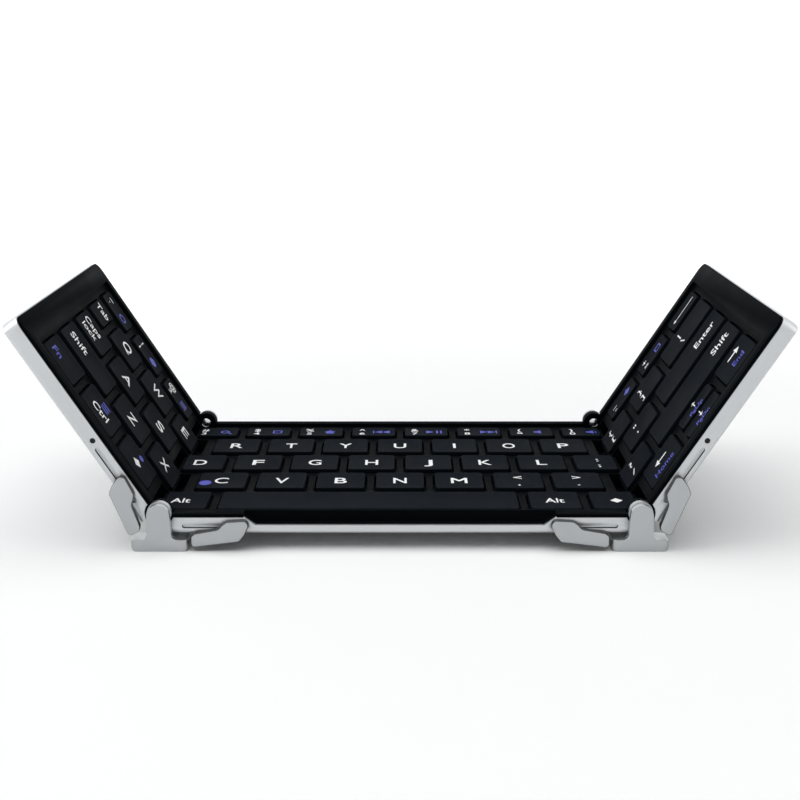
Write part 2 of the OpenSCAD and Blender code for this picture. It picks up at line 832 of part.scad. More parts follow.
module left_inner_front_link() {
    inner_link(LEFT, FRONT);
}

module left_inner_rear_link() {
    inner_link(LEFT, REAR);
}

module left_outer_front_link() {
    outer_link(LEFT, FRONT);
}

module left_outer_rear_link() {
    outer_link(LEFT, REAR);
}

module right_inner_front_link() {
    inner_link(RIGHT, FRONT);
}

module right_inner_rear_link() {
    inner_link(RIGHT, REAR);
}

module right_outer_front_link() {
    outer_link(RIGHT, FRONT);
}

module right_outer_rear_link() {
    outer_link(RIGHT, REAR);
}

seat_gap = 0.05;      // gap round a small screw in its seat
screw_slot_w = 0.3;   // width, length and depth of the slot in its head
screw_slot_l = 0.9;
screw_slot_t = 0.4;

module slot_screws(side) {
    color(STEEL) at_wing(side) at_ends() at_screw() difference() {
        cylinder(r = screw_r - seat_gap, h = slot_depth - SEAM, $fn = ROUND);
        translate([-screw_slot_w / 2, -screw_slot_l / 2, slot_depth - screw_slot_t])
            cube([screw_slot_w, screw_slot_l, EXTRA]);
    }
}

module left_slot_screws() {
    slot_screws(LEFT);
}

module right_slot_screws() {
    slot_screws(RIGHT);
}

// --- key caps -------------------------------------------------------------------
// A cap of the given size with its top at z = 0: stepped edge, dished top,
// hollow underside and one stem, or three under a long key.
module key_cap(w, d) {
    dish_r = (d * d / 4 + key_dish * key_dish) / (2 * key_dish);
    stems = w > 1.5 * key_pitch ? [-w / 3, 0, w / 3] : [0];
    difference() {
        union() {
            slab(-key_h, -key_edge) rounded_rect(w, d, key_corner_r);
            slab(-key_edge, 0) rounded_rect(w - 2 * key_edge, d - 2 * key_edge,
                key_corner_r - key_edge);
        }
        slab(-key_h - EXTRA, -key_top_t) square([w - 2 * key_wall, d - 2 * key_wall],
            center = true);
        translate([0, 0, dish_r - key_dish]) rotate([0, 90, 0])
            cylinder(r = dish_r, h = w + 2, center = true, $fn = BIG_ROUND);
    }
    for (x = stems) translate([x, 0, -key_h])
        cylinder(r = stem_r, h = key_h - key_top_t + FUSE, $fn = ROUND);
}

// Keys from number first to last of a row, counted from the row's start.
module row_keys(rows, r, first, last) {
    color(KEY_BLACK) for (i = [first:last])
        translate([key_mid(rows[r], i), row_y(r), z_key])
            key_cap(key_width(rows[r], i), row_depth(r));
}

module centre_number_keys() {
    at_centre() row_keys(centre_rows, 0, 0, 7);
}

module centre_top_row_keys() {
    at_centre() row_keys(centre_rows, 1, 0, 6);
}

module centre_home_row_keys() {
    at_centre() row_keys(centre_rows, 2, 0, 7);
}

module centre_bottom_row_keys() {
    at_centre() row_keys(centre_rows, 3, 0, 6);
}

module space_bar() {
    at_centre() row_keys(centre_rows, 4, 1, 1);
}

module centre_alt_keys() {
    at_centre() {
        row_keys(centre_rows, 4, 0, 0);
        row_keys(centre_rows, 4, 2, 3);
    }
}

module left_number_keys() {
    at_wing(LEFT) row_keys(left_rows, 0, 0, 2);
}

module tab_key() {
    at_wing(LEFT) row_keys(left_rows, 1, 3, 3);
}

module left_top_row_keys() {
    at_wing(LEFT) row_keys(left_rows, 1, 0, 2);
}

module caps_lock_key() {
    at_wing(LEFT) row_keys(left_rows, 2, 2, 2);
}

module left_home_row_keys() {
    at_wing(LEFT) row_keys(left_rows, 2, 0, 1);
}

module left_shift_key() {
    at_wing(LEFT) row_keys(left_rows, 3, 2, 2);
}

module left_bottom_row_keys() {
    at_wing(LEFT) row_keys(left_rows, 3, 0, 1);
}

module left_modifier_keys() {
    at_wing(LEFT) row_keys(left_rows, 4, 0, 2);
}

module right_number_keys() {
    at_wing(RIGHT) row_keys(right_rows, 0, 0, 1);
}

module backspace_key() {
    at_wing(RIGHT) row_keys(right_rows, 0, 2, 2);
}

module right_top_row_keys() {
    at_wing(RIGHT) row_keys(right_rows, 1, 0, 2);
}

module quote_key() {
    at_wing(RIGHT) row_keys(right_rows, 2, 0, 0);
}

module enter_key() {
    at_wing(RIGHT) row_keys(right_rows, 2, 1, 1);
}

module slash_key() {
    at_wing(RIGHT) row_keys(right_rows, 3, 0, 0);
}

module right_shift_key() {
    at_wing(RIGHT) row_keys(right_rows, 3, 1, 1);
}

module left_right_arrow_keys() {
    at_wing(RIGHT) {
        row_keys(right_rows, 4, 0, 0);
        row_keys(right_rows, 4, 2, 2);
    }
}

// One of the two half-depth arrow keys that share a key's place.
module half_key(end) {
    color(KEY_BLACK) at_wing(RIGHT) translate([key_mid(right_rows[4], 1),
        row_y(4) + end * (half_key_depth + half_key_gap) / 2, z_key])
            key_cap(key_width(right_rows[4], 1), half_key_depth);
}

module up_arrow_key() {
    half_key(REAR);
}

module down_arrow_key() {
    half_key(FRONT);
}

centre_tray();
centre_deck();
centre_support_plate();
centre_switch_sheet();
left_tray();
left_deck();
left_support_plate();
left_switch_sheet();
right_tray();
right_deck();
right_support_plate();
right_switch_sheet();
battery();
circuit_board();
charging_socket();
left_front_foot();
left_rear_foot();
right_front_foot();
right_rear_foot();
left_hinge_pins();
right_hinge_pins();
left_inner_front_link();
left_inner_rear_link();
left_outer_front_link();
left_outer_rear_link();
right_inner_front_link();
right_inner_rear_link();
right_outer_front_link();
right_outer_rear_link();
left_slot_screws();
right_slot_screws();
centre_number_keys();
centre_top_row_keys();
centre_home_row_keys();
centre_bottom_row_keys();
space_bar();
centre_alt_keys();
left_number_keys();
tab_key();
left_top_row_keys();
caps_lock_key();
left_home_row_keys();
left_shift_key();
left_bottom_row_keys();
left_modifier_keys();
right_number_keys();
backspace_key();
right_top_row_keys();
quote_key();
enter_key();
slash_key();
right_shift_key();
left_right_arrow_keys();
up_arrow_key();
down_arrow_key();
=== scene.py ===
"""Looks of the folding keyboard: key caps, legends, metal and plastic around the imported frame."""

import json
import math

import bmesh
import bpy
from mathutils import Matrix, Vector

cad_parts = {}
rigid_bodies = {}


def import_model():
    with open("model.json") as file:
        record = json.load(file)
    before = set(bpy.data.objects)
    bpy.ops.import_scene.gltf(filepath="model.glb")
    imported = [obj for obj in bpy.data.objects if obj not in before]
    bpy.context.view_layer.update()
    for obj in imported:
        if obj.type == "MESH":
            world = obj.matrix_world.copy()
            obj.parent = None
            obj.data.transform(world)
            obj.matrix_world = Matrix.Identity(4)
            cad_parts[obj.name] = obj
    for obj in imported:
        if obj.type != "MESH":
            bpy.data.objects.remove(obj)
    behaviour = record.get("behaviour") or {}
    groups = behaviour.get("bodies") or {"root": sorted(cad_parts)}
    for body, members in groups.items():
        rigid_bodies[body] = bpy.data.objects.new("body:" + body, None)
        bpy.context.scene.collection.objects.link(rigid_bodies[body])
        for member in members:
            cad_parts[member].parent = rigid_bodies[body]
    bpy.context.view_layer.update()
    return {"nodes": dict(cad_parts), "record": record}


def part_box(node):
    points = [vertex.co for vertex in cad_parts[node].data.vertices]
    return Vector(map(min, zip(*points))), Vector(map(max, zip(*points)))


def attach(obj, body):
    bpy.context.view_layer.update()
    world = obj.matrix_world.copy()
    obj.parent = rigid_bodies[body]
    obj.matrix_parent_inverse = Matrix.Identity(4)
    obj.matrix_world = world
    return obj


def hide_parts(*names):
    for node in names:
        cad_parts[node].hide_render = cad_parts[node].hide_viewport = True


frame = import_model()

MM = 0.001

# ---------------------------------------------------------------- frame sizes
JOINTS = {joint["name"]: joint for joint in frame["record"]["behaviour"]["joints"]}
BODY_OF_NODE = {
    node: body
    for body, nodes in frame["record"]["behaviour"]["bodies"].items()
    for node in nodes
}
LEFT_AXIS = Vector(JOINTS["left_wing_hinge"]["pos_m"])
RIGHT_AXIS = Vector(JOINTS["right_wing_hinge"]["pos_m"])
WING_TILT = math.radians(-JOINTS["left_wing_hinge"]["range_deg"][0])


def panel_matrix(origin, along):
    """Panel space to row frame: x is the reading direction, y points away from the typist."""
    across = Vector((0, 1, 0))
    up = along.cross(across)
    columns = Matrix((along, across, up)).transposed()
    return Matrix.Translation(origin) @ columns.to_4x4()


PANELS = {
    "centre": panel_matrix(Vector((0, 0, LEFT_AXIS.z)), Vector((1, 0, 0))),
    "left": panel_matrix(LEFT_AXIS, Vector((math.cos(WING_TILT), 0, -math.sin(WING_TILT)))),
    "right": panel_matrix(RIGHT_AXIS, Vector((math.cos(WING_TILT), 0, math.sin(WING_TILT)))),
}
PANEL_OF_BODY = {"base": "centre", "left_wing": "left", "right_wing": "right"}


def panel_of_key(node):
    """The panel that a key node's slide belongs to."""
    return PANEL_OF_BODY[JOINTS[node + "_press"]["parent"]]


# ------------------------------------------------------------------ materials
NOISE_LOW, NOISE_HIGH = 0.3, 0.7    # the part of the noise's range that changes a value
SMOOTHER, ROUGHER = 0.05, 0.06      # how far the roughness strays to either side
WEAR_DETAIL = 5                     # octaves of the noise behind rubbing and handling marks
BLOTCH_DETAIL = 4                   # octaves of a coarse change of tone and of brushing
GRAIN_DETAIL = 2                    # octaves of a fine grain

METAL_WEAR = 180                    # noise scale of the rubbing, per metre
METAL_BLOTCH = 45                   # noise scale of the change of tone
METAL_TONES = 0.96, 1.03            # darkest and lightest tone, as shares of the colour
METAL_GRAIN = 7000, 0.12            # scale and bump strength of the blasted grain
METAL_BRUSHING = 900, 0.04          # the same of the brushing
METAL_BUMP = 0.04 * MM

PLASTIC_WEAR = 70
PLASTIC_BLOTCH = 2600
PLASTIC_LIGHT = 1.15
PLASTIC_BUMP = 0.05 * MM

INK_ROUGHNESS = 0.55
INK_ROUGHNESS_RANGE = 0.48, 0.62
INK_GRAIN = 3000


def new_material(name, colour, roughness, metallic=0.0):
    """A Principled material with its constant values on the shader's own sockets."""
    material = bpy.data.materials.new(name)
    material.use_nodes = True
    shader = material.node_tree.nodes["Principled BSDF"]
    shader.inputs["Base Color"].default_value = (*colour, 1)
    shader.inputs["Roughness"].default_value = roughness
    shader.inputs["Metallic"].default_value = metallic
    return material


def object_coords(tree, stretch=(1, 1, 1)):
    """Object coordinates, scaled by stretch."""
    coords = tree.nodes.new("ShaderNodeTexCoord")
    mapping = tree.nodes.new("ShaderNodeMapping")
    mapping.inputs["Scale"].default_value = stretch
    tree.links.new(coords.outputs["Object"], mapping.inputs["Vector"])
    return mapping.outputs["Vector"]


def noise(tree, vector, scale, detail):
    """Noise in the range 0 to 1."""
    node = tree.nodes.new("ShaderNodeTexNoise")
    node.inputs["Scale"].default_value = scale
    node.inputs["Detail"].default_value = detail
    tree.links.new(vector, node.inputs["Vector"])
    return node.outputs["Fac"]


def vary(tree, factor, socket, low, high):
    """Moves a shader socket between two values by a noise factor."""
    ramp = tree.nodes.new("ShaderNodeMapRange")
    ramp.inputs["From Min"].default_value = NOISE_LOW
    ramp.inputs["From Max"].default_value = NOISE_HIGH
    ramp.inputs["To Min"].default_value = low
    ramp.inputs["To Max"].default_value = high
    tree.links.new(factor, ramp.inputs["Value"])
    tree.links.new(ramp.outputs["Result"], socket)


def tint(tree, factor, socket, dark, light):
    """Mixes two colours by a noise factor."""
    mix = tree.nodes.new("ShaderNodeMix")
    mix.data_type = "RGBA"
    mix.inputs["A"].default_value = (*dark, 1)
    mix.inputs["B"].default_value = (*light, 1)
    tree.links.new(factor, mix.inputs["Factor"])
    tree.links.new(mix.outputs["Result"], socket)


def grain(tree, shader, heights, distance):
    """Adds a bump made of several noise heights."""
    bump = None
    for height, strength in heights:
        following = tree.nodes.new("ShaderNodeBump")
        following.inputs["Strength"].default_value = strength
        following.inputs["Distance"].default_value = distance
        tree.links.new(height, following.inputs["Height"])
        if bump:
            tree.links.new(bump.outputs["Normal"], following.inputs["Normal"])
        bump = following
    tree.links.new(bump.outputs["Normal"], shader.inputs["Normal"])


def wear(tree, shader, factor, roughness):
    """Makes the roughness a little uneven."""
    vary(tree, factor, shader.inputs["Roughness"], roughness - SMOOTHER, roughness + ROUGHER)


def metal(name, colour, roughness, metallic, brush=(1, 1, 1)):
    """Blasted and anodised metal with a fine grain; brush stretches its rubbing along an axis."""
    material = new_material(name, colour, roughness, metallic)
    tree = material.node_tree
    shader = tree.nodes["Principled BSDF"]
    plain = object_coords(tree)
    rubbed = object_coords(tree, brush)
    wear(tree, shader, noise(tree, rubbed, METAL_WEAR, WEAR_DETAIL), roughness)
    dark, light = (tuple(c * share for c in colour) for share in METAL_TONES)
    blotches = noise(tree, plain, METAL_BLOTCH, BLOTCH_DETAIL)
    tint(tree, blotches, shader.inputs["Base Color"], dark, light)
    grain_scale, grain_strength = METAL_GRAIN
    brush_scale, brush_strength = METAL_BRUSHING
    grain(tree, shader, [
        (noise(tree, plain, grain_scale, GRAIN_DETAIL), grain_strength),
        (noise(tree, rubbed, brush_scale, BLOTCH_DETAIL), brush_strength),
    ], METAL_BUMP)
    return material


def plastic(name, colour, roughness, grain_scale, grain_strength, sheen=0.5):
    """Moulded plastic with a spark-eroded grain and faint handling marks."""
    material = new_material(name, colour, roughness)
    tree = material.node_tree
    shader = tree.nodes["Principled BSDF"]
    shader.inputs["Specular IOR Level"].default_value = sheen
    plain = object_coords(tree)
    wear(tree, shader, noise(tree, plain, PLASTIC_WEAR, WEAR_DETAIL), roughness)
    light = tuple(c * PLASTIC_LIGHT for c in colour)
    blotches = noise(tree, plain, PLASTIC_BLOTCH, GRAIN_DETAIL)
    tint(tree, blotches, shader.inputs["Base Color"], colour, light)
    pits = noise(tree, plain, grain_scale, GRAIN_DETAIL)
    grain(tree, shader, [(pits, grain_strength)], PLASTIC_BUMP)
    return material


def ink(name, colour):
    """Printed ink, a little uneven in its gloss."""
    material = new_material(name, colour, INK_ROUGHNESS)
    tree = material.node_tree
    shader = tree.nodes["Principled BSDF"]
    uneven = noise(tree, object_coords(tree), INK_GRAIN, GRAIN_DETAIL)
    vary(tree, uneven, shader.inputs["Roughness"], *INK_ROUGHNESS_RANGE)
    return material


SILVER = metal(
    "anodised_silver", (0.58, 0.600, 0.616), roughness=0.36, metallic=0.85, brush=(1, 12, 1),
)
CAST = metal("satin_foot_metal", (0.435, 0.452, 0.465), roughness=0.32, metallic=0.85)
STEEL = metal("pin_steel", (0.72, 0.73, 0.75), roughness=0.24, metallic=1.0, brush=(1, 30, 1))
SLOT_DARK = metal("slot_shadow_metal", (0.035, 0.036, 0.038), roughness=0.5, metallic=0.6)
# Painted shade: a dark metal for the links' side faces and their roundings, standing in for the
# shade along the links' edges
LINK_EDGE_SHADE = metal("painted_edge_shade_metal", (0.07, 0.072, 0.076), roughness=0.5, metallic=0.7)
SCREW = metal("blackened_screw", (0.02, 0.021, 0.024), roughness=0.45, metallic=0.7)
FRAME_BLACK = plastic(
    "frame_black", (0.0022, 0.0031, 0.0042), roughness=0.52,
    grain_scale=4200, grain_strength=0.10, sheen=0.008,
)
KEY_BLACK = plastic(
    "key_black", (0.0046, 0.0064, 0.0090), roughness=0.60,
    grain_scale=5200, grain_strength=0.08, sheen=0.011,
)
WHITE_INK = ink("white_ink", (0.90, 0.91, 0.92))
BLUE_INK = ink("blue_ink", (0.030, 0.040, 0.42))
SHEET_GREEN = plastic(
    "sheet_green", (0.008, 0.014, 0.010), roughness=0.5,
    grain_scale=3000, grain_strength=0.05, sheen=0.02,
)
BATTERY_FOIL = metal("battery_foil", (0.50, 0.54, 0.58), roughness=0.4, metallic=0.6)
BOARD_GREEN = plastic(
    "board_green", (0.02, 0.12, 0.05), roughness=0.35, grain_scale=3000, grain_strength=0.05,
)


# ----------------------------------------------------------------- mesh tools
WELD = 0.001 * MM                   # corners closer than this are one
FLAT = math.radians(1.0)            # faces that meet at less than this are one flat face
SHARP = math.radians(30)            # and at more than this, an edge to be rounded
SHELL_CREASE = math.radians(32)     # shading breaks at more than this on metal and plastic shells
SOFT_CREASE = math.radians(60)      # and on the key caps and the floor
SECOND = 1                          # index of a piece's second material


def new_object(name, mesh, materials, body, replaces=()):
    """Adds a mesh to the scene on its CAD body."""
    for material in materials:
        mesh.materials.append(material)
    piece = bpy.data.objects.new(name, mesh)
    bpy.context.scene.collection.objects.link(piece)
    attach(piece, body)
    if replaces:
        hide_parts(*replaces)


def mesh_from(bm, name):
    """Turns a finished bmesh into a mesh."""
    mesh = bpy.data.meshes.new(name)
    bm.to_mesh(mesh)
    bm.free()
    return mesh


def smooth(mesh):
    """Smooth shading that breaks at the creases only."""
    mesh.polygons.foreach_set("use_smooth", [True] * len(mesh.polygons))
    mesh.set_sharp_from_angle(angle=SOFT_CREASE)


def keep_flats_flat(bm):
    """Smooth shading only for the faces of curved surfaces, so that flat walls stay even."""
    for face in bm.faces:
        turns = [edge.calc_face_angle(0) for edge in face.edges if len(edge.link_faces) == 2]
        face.smooth = any(FLAT < turn < SHARP for turn in turns)


def welded_copy(node):
    """A bmesh of a CAD node with its corners joined up."""
    bm = bmesh.new()
    bm.from_mesh(frame["nodes"][node].data)
    bmesh.ops.remove_doubles(bm, verts=bm.verts, dist=WELD)
    return bm


def bevel_edges(bm, width, segments, rim):
    """Rounds the sharp edges.

    rim is the index of the new faces' material, or -1 for that of the faces beside them. A
    rounding beside a face of the second material takes that material in any case.
    """
    sharp = [e for e in bm.edges if len(e.link_faces) == 2 and e.calc_face_angle(0) > SHARP]
    rounded = bmesh.ops.bevel(
        bm, geom=sharp, offset=width, segments=segments, profile=0.5, material=rim,
        affect="EDGES", clamp_overlap=True, harden_normals=False,
    )
    lips = [
        face for face in rounded["faces"]
        if any(other.material_index for edge in face.edges for other in edge.link_faces)
    ]
    for face in rounded["faces"]:
        face.smooth = True
    for face in lips:
        face.material_index = SECOND


def dressed(node, name, materials, bevel, segments=2, paint=None, rim=-1):
    """A rounded copy of a CAD node that stands for it.

    paint says whether a face gets the second material.
    """
    bm = welded_copy(node)
    bmesh.ops.dissolve_limit(bm, angle_limit=FLAT, verts=bm.verts, edges=bm.edges)
    if paint:
        for face in bm.faces:
            face.material_index = SECOND if paint(face) else 0
    keep_flats_flat(bm)
    bevel_edges(bm, bevel, segments, rim)
    mesh = mesh_from(bm, name)
    mesh.set_sharp_from_angle(angle=SHELL_CREASE)
    new_object(name, mesh, materials, BODY_OF_NODE[node], [node])


# --------------------------------------------------------- trays and frames
TRAY_ROUND = 0.16 * MM
DECK_ROUND = 0.12 * MM

# Where the side walls of a tray's slot lie, with a little slack
SLOT_NEAR = 5.782 * MM              # nearest to the fold
SLOT_FAR = 23.634 * MM              # farthest from the fold
SLOT_DROP = 3.5 * MM                # centre line of the slot, below the fold
SLOT_HALF_W = 0.63 * MM
SLOT_SHALLOW = 0.16 * MM            # the middle of a side wall lies deeper than this
SLOT_DEEP = 0.88 * MM               # and less deep than this

UPRIGHT = 0.7                       # from this y of its normal on, a face looks to front or rear
KNUCKLE_R = 3.3 * MM                # reach of the front knuckles from the fold axis
KNUCKLE_LEN = 1.55 * MM             # and from the front face


def looks_sideways(face):
    """Whether a face looks neither to the front nor to the rear."""
    return abs(face.normal.y) < UPRIGHT


def slot_wall_test(panel):
    """Picks out the side walls of the slots in a tray's front and rear faces."""
    to_panel = PANELS[panel].inverted()
    half_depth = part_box("centre_tray")[1].y
    half_fold = RIGHT_AXIS.x if panel == "centre" else 0

    def pick(face):
        place = to_panel @ face.calc_center_median()
        from_fold = half_fold - abs(place.x) if panel == "centre" else abs(place.x)
        deep_enough = SLOT_SHALLOW < half_depth - abs(place.y) < SLOT_DEEP
        in_slot = abs(place.z + SLOT_DROP) < SLOT_HALF_W and SLOT_NEAR < from_fold < SLOT_FAR
        return deep_enough and in_slot and looks_sideways(face)

    return pick


def on_sleeve(face):
    """Picks out the centre panel's front knuckles, which have thin metal sleeves."""
    rear_end = KNUCKLE_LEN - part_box("centre_tray")[1].y
    for vert in face.verts:
        from_axis = math.hypot(abs(vert.co.x) - RIGHT_AXIS.x, vert.co.z - RIGHT_AXIS.z)
        if from_axis > KNUCKLE_R or vert.co.y > rear_end:
            return False
    return True


for panel_name in PANELS:
    dressed(
        panel_name + "_tray", panel_name + "_tray_shell", [SILVER, SLOT_DARK],
        TRAY_ROUND, paint=slot_wall_test(panel_name),
    )
    dressed(
        panel_name + "_deck", panel_name + "_key_frame", [FRAME_BLACK, CAST],
        DECK_ROUND, paint=on_sleeve,
    )


# -------------------------------------------------------- feet, pins and links
FOOT_ROUND = 0.55 * MM
FOOT_SEGMENTS = 4
LINK_ROUND = 0.22 * MM
PIN_ROUND = 0.06 * MM
FINE_ROUND = 0.05 * MM              # on the screws and the charging socket

for side in ("left", "right"):
    for end in ("front", "rear"):
        foot = f"{side}_{end}_foot"
        dressed(foot, foot + "_cast", [CAST], FOOT_ROUND, FOOT_SEGMENTS)
        for place in ("inner", "outer"):
            link = f"{side}_{place}_{end}_link"
            # The links' sideways faces and their roundings get the painted edge shade
            dressed(
                link, link + "_plate", [CAST, LINK_EDGE_SHADE], LINK_ROUND,
                paint=looks_sideways, rim=SECOND,
            )
    dressed(f"{side}_hinge_pins", f"{side}_hinge_pin_pair", [STEEL], PIN_ROUND)
    dressed(f"{side}_slot_screws", f"{side}_slot_screw_pair", [SCREW], FINE_ROUND)
dressed("charging_socket", "charging_socket_shell", [STEEL], FINE_ROUND)

# Thin black strips under the folds: each is stuck to one panel and reaches past the
# axis under its neighbour's tongues, so no light comes up through the open fold.
STRIP_REACH = 3.1 * MM              # to either side of the fold axis
STRIP_HALF_LEN = 38 * MM
STRIP_T = 0.05 * MM
STRIP_DROP = 0.01 * MM              # gap between the panels' bottoms and the upper strips
STRIP_GAP = 0.02 * MM               # gap between the two layers
PANEL_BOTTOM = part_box("centre_tray")[0].z - LEFT_AXIS.z


def fold_strip(name, panel, body, axis_x, layer):
    """A strip under one fold, in a layer of its own below the panels' bottoms."""
    top = PANEL_BOTTOM - STRIP_DROP - layer * (STRIP_T + STRIP_GAP)
    bm = bmesh.new()
    bmesh.ops.create_cube(bm, size=1)
    for vert in bm.verts:
        spot = Vector((
            axis_x + 2 * vert.co.x * STRIP_REACH,
            2 * vert.co.y * STRIP_HALF_LEN,
            top + (vert.co.z - 0.5) * STRIP_T,
        ))
        vert.co = PANELS[panel] @ spot
    new_object(name, mesh_from(bm, name), [FRAME_BLACK], body)


fold_strip("centre_strip_left", "centre", "base", LEFT_AXIS.x, layer=0)
fold_strip("centre_strip_right", "centre", "base", RIGHT_AXIS.x, layer=0)
fold_strip("left_wing_strip", "left", "left_wing", 0, layer=1)
fold_strip("right_wing_strip", "right", "right_wing", 0, layer=1)

INSIDE = {"battery": BATTERY_FOIL, "circuit_board": BOARD_GREEN}
for panel_name in PANELS:
    INSIDE[panel_name + "_support_plate"] = STEEL
    INSIDE[panel_name + "_switch_sheet"] = SHEET_GREEN
for node_name, inner_material in INSIDE.items():
    inside = frame["nodes"][node_name]
    inside.data.materials.clear()
    inside.data.materials.append(inner_material)


# ------------------------------------------------------------------- key caps
CAP_CORNER = 0.95 * MM      # radius of a cap's four corners
CAP_ROUND = 0.24 * MM       # rounding of a cap's top edge
CAP_DISH = 0.15 * MM        # depth of the hollow in a cap's top
CAP_RIM = 0.25 * MM         # width of the slope from a cap's rounded edge down to the hollow
SMALLEST_CORNER = 0.02 * MM
DISH_END = 0.06 * MM        # half width of the innermost ring of the hollow
CORNER_STEPS = 6            # steps of a corner, of a left or right side, of the rounding
SIDE_STEPS = 10             # and from the rim to the middle of the hollow
ROUND_STEPS = 4
DISH_STEPS = 7


def rounded_ring(half_w, half_d, radius):
    """Points of a rounded rectangle, counter-clockwise, with more points along y for the dish."""
    radius = max(radius, SMALLEST_CORNER)
    ring = []
    for quarter in range(4):
        start = quarter * math.pi / 2
        side = 1 if quarter in (0, 3) else -1
        end = 1 if quarter in (0, 1) else -1
        cx, cy = side * (half_w - radius), end * (half_d - radius)
        for step in range(CORNER_STEPS + 1):
            a = start + step * math.pi / 2 / CORNER_STEPS
            ring.append((cx + radius * math.cos(a), cy + radius * math.sin(a)))
        if quarter in (1, 3):
            for step in range(1, SIDE_STEPS):
                ring.append((side * half_w, cy * (1 - 2 * step / SIDE_STEPS)))
    return ring


class Key:
    """Box of one key cap in its panel's space."""

    def __init__(self, points):
        xs, ys, zs = zip(*points)
        self.x = (min(xs) + max(xs)) / 2
        self.y = (min(ys) + max(ys)) / 2
        self.half_w = (max(xs) - min(xs)) / 2
        self.half_d = (max(ys) - min(ys)) / 2
        self.top = max(zs)
        self.bottom = min(zs)

    def surface(self, y):
        """Height of the dished top at a distance y from the cap's middle."""
        part = min(1, abs(y) / (self.half_d - CAP_ROUND))
        return self.top - CAP_DISH * (1 - part * part)


def keys_of(node):
    """The separate caps of a CAD node, from left to right."""
    to_panel = PANELS[panel_of_key(node)].inverted()
    bm = welded_copy(node)
    seen, keys = set(), []
    for first in bm.verts:
        if first in seen:
            continue
        seen.add(first)
        queue, island = [first], []
        while queue:
            vert = queue.pop()
            island.append(to_panel @ vert.co)
            for edge in vert.link_edges:
                other = edge.other_vert(vert)
                if other not in seen:
                    seen.add(other)
                    queue.append(other)
        keys.append(Key(island))
    bm.free()
    return sorted(keys, key=lambda k: k.x)


def cap_mesh(name, key, to_row):
    """A key cap with a rounded top edge and a dished top."""
    rings = [(0, key.bottom), (0, key.top - CAP_ROUND)]     # inset and height; None is the dish
    for step in range(1, ROUND_STEPS + 1):
        a = step * math.pi / 2 / ROUND_STEPS
        rings.append((CAP_ROUND * (1 - math.cos(a)), key.top - CAP_ROUND * (1 - math.sin(a))))
    first, last = CAP_ROUND + CAP_RIM, min(key.half_w, key.half_d) - DISH_END
    for step in range(DISH_STEPS + 1):
        rings.append((first + (last - first) * step / DISH_STEPS, None))
    bm = bmesh.new()
    loops = []
    for inset, height in rings:
        loop = []
        for x, y in rounded_ring(key.half_w - inset, key.half_d - inset, CAP_CORNER - inset):
            z = key.surface(y) if height is None else height
            loop.append(bm.verts.new(to_row @ Vector((key.x + x, key.y + y, z))))
        loops.append(loop)
    for low, high in zip(loops, loops[1:]):
        count = len(low)
        for i in range(count):
            j = (i + 1) % count
            bm.faces.new((low[i], low[j], high[j], high[i]))
    bm.faces.new(loops[-1])
    bm.faces.new(loops[0][::-1])
    mesh = mesh_from(bm, name)
    smooth(mesh)
    return mesh


# -------------------------------------------------------------------- legends
INK_RISE = 0.02 * MM       # height of the print above the cap
STROKE = 0.010             # how much bolder than the plain font, in ems
WIDEN = 1.16               # how much wider than the plain font a single sign is
WORD_WIDEN = 0.87          # the same for words
FONT_CAP = 0.66            # cap height of the plain font, in ems
LETTER_W = 0.90            # width of most letters, which are equally wide, in cap heights
LETTER_WIDTHS = {
    "A": 0.96, "B": 0.82, "E": 0.78, "F": 0.80, "I": 0.19, "J": 0.60, "L": 0.72, "P": 0.80,
    "Q": 0.98, "S": 0.80, "T": 0.80, "W": 1.20,
}

BIG = 4.4 * MM             # cap height of the letters
WORD = 3.3 * MM            # cap height of words
PAIR = 2.9 * MM            # cap height of two signs one above the other
SMALL = 2.3 * MM           # cap height on the shallow number keys
MARK = 3.4 * MM            # unit of the blue marks and of the diamonds
TINY = 2.0 * MM            # diameter of the blue dot beside a diamond
BIG_ARROW = 4.2 * MM       # unit of the left and right arrows
BLUE_WORD = 2.6 * MM       # cap height of Home and End
HALF_KEY_ARROW = 2.2 * MM  # the same two sizes on the half keys
HALF_KEY_WORD = 2.1 * MM

NUMBER_LEFT = 3.7 * MM     # places of a number key's white signs and its blue mark
NUMBER_RIGHT = 2.8 * MM
NUMBER_RISE = 1.75 * MM
OUT = 0.9 * MM             # shift to the outer side on the narrow keys beside a fold
WING_PAIR = -2.2 * MM      # shift of the right wing's pairs of signs
END_PAIR = -1.4 * MM       # and of those on the keys at its fold

DOT_POINTS = 24
RING_POINTS = 28
OVAL_WIDTH = 0.87          # width of the oval, in its heights


def text_shape(body):
    """Flat faces of a text in ems. A single letter gets its set width and is centred."""
    curve = bpy.data.curves.new("legend_text", "FONT")
    curve.body = body
    curve.offset = STROKE
    curve.align_x = "CENTER"
    holder = bpy.data.objects.new("legend_text", curve)
    bpy.context.scene.collection.objects.link(holder)
    bpy.context.view_layer.update()
    flat = holder.evaluated_get(bpy.context.evaluated_depsgraph_get()).to_mesh()
    across = [v.co.x for v in flat.vertices]
    middle = 0
    wide = WIDEN if len(body) == 1 else WORD_WIDEN
    if len(body) == 1 and body.isalpha():
        middle = (max(across) + min(across)) / 2
        wide = LETTER_WIDTHS.get(body, LETTER_W) * FONT_CAP / (max(across) - min(across))
    points = [((v.co.x - middle) * wide, v.co.y) for v in flat.vertices]
    faces = [tuple(polygon.vertices) for polygon in flat.polygons]
    bpy.data.objects.remove(holder)
    bpy.data.curves.remove(curve)
    return points, faces


CAP_HEIGHT = max(y for x, y in text_shape("H")[0]) - STROKE
made_texts = {}


def text(body):
    """A text with cap height 1, its capitals' middle at height 0. Each is made only once."""
    if body not in made_texts:
        points, faces = text_shape(body)
        scaled = [(x / CAP_HEIGHT, y / CAP_HEIGHT - 0.5) for x, y in points]
        made_texts[body] = scaled, faces
    return made_texts[body]


